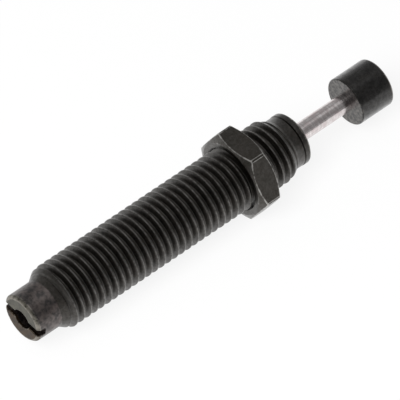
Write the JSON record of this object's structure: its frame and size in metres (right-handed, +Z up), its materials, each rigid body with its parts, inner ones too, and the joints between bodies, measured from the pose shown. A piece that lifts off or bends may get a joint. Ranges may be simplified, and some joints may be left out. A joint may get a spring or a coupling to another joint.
{
  "type": "industrial shock absorber",
  "caption": "Miniature hydraulic shock absorber with a threaded barrel, a hexagon jam nut, a slotted rear end and a spring-returned rod with a round button.",
  "frame": {"origin": "on the axis, in the rear face of the jam nut, where the nut clamps what the barrel is screwed into", "axes": "+X along the axis towards the button, +Z up with the nut's flats up and down, +Y across"},
  "size_m": [0.0538, 0.0116, 0.01],
  "materials": {
    "barrel_steel": "black oxide on machined steel, slightly worn on the edges",
    "nut_steel": "black oxide, satin",
    "button_steel": "matte black oxide",
    "rod_steel": "hardened, ground and polished",
    "stop_steel": "black oxide",
    "screw_steel": "black oxide",
    "ball_steel": "polished bearing ball",
    "tube_steel": "honed and hardened",
    "base_steel": "turned",
    "piston_steel": "ground",
    "guide_steel": "zinc plated and yellow passivated",
    "spring_steel": "drawn piano wire",
    "bearing_bronze": "sintered bronze, oil-soaked",
    "holder_brass": "turned brass",
    "ring_copper": "soft copper",
    "check_ring_bronze": "ground bronze",
    "seal_rubber": "nitrile rubber, oily",
    "foam_rubber": "closed-cell nitrile foam"
  },
  "bodies": {
    "barrel": {"outer_body": "barrel_steel", "fill_ball": "ball_steel", "set_screw": "screw_steel", "tube_base": "base_steel", "pressure_tube": "tube_steel", "rod_bearing": "bearing_bronze", "foam_accumulator": "foam_rubber", "seal_holder": "holder_brass", "holder_gasket": "seal_rubber", "rod_seal": "seal_rubber", "stop_ring": "stop_steel", "scraper": "seal_rubber", "return_spring": "spring_steel"},
    "rod": {"piston_rod": "rod_steel", "button": "button_steel", "piston": "piston_steel", "lock_ring": "ring_copper", "spring_guide": "guide_steel"},
    "check_ring": {"check_ring": "check_ring_bronze"},
    "nut": {"jam_nut": "nut_steel"}
  },
  "joints": [
    {"name": "rod_slide", "type": "slide", "parent": "barrel", "child": "rod", "axis": [-1, 0, 0], "range_m": [0, 0.008], "stiffness_N_per_m": 450, "springref_m": -0.0038, "deforming": ["return_spring"]},
    {"name": "check_ring_float", "type": "slide", "parent": "rod", "child": "check_ring", "axis": [1, 0, 0], "range_m": [0, 0.00026]},
    {"name": "nut_turn", "type": "hinge", "parent": "barrel", "child": "nut", "pos_m": [0.0015, 0, 0], "axis": [1, 0, 0], "continuous": true}
  ]
}
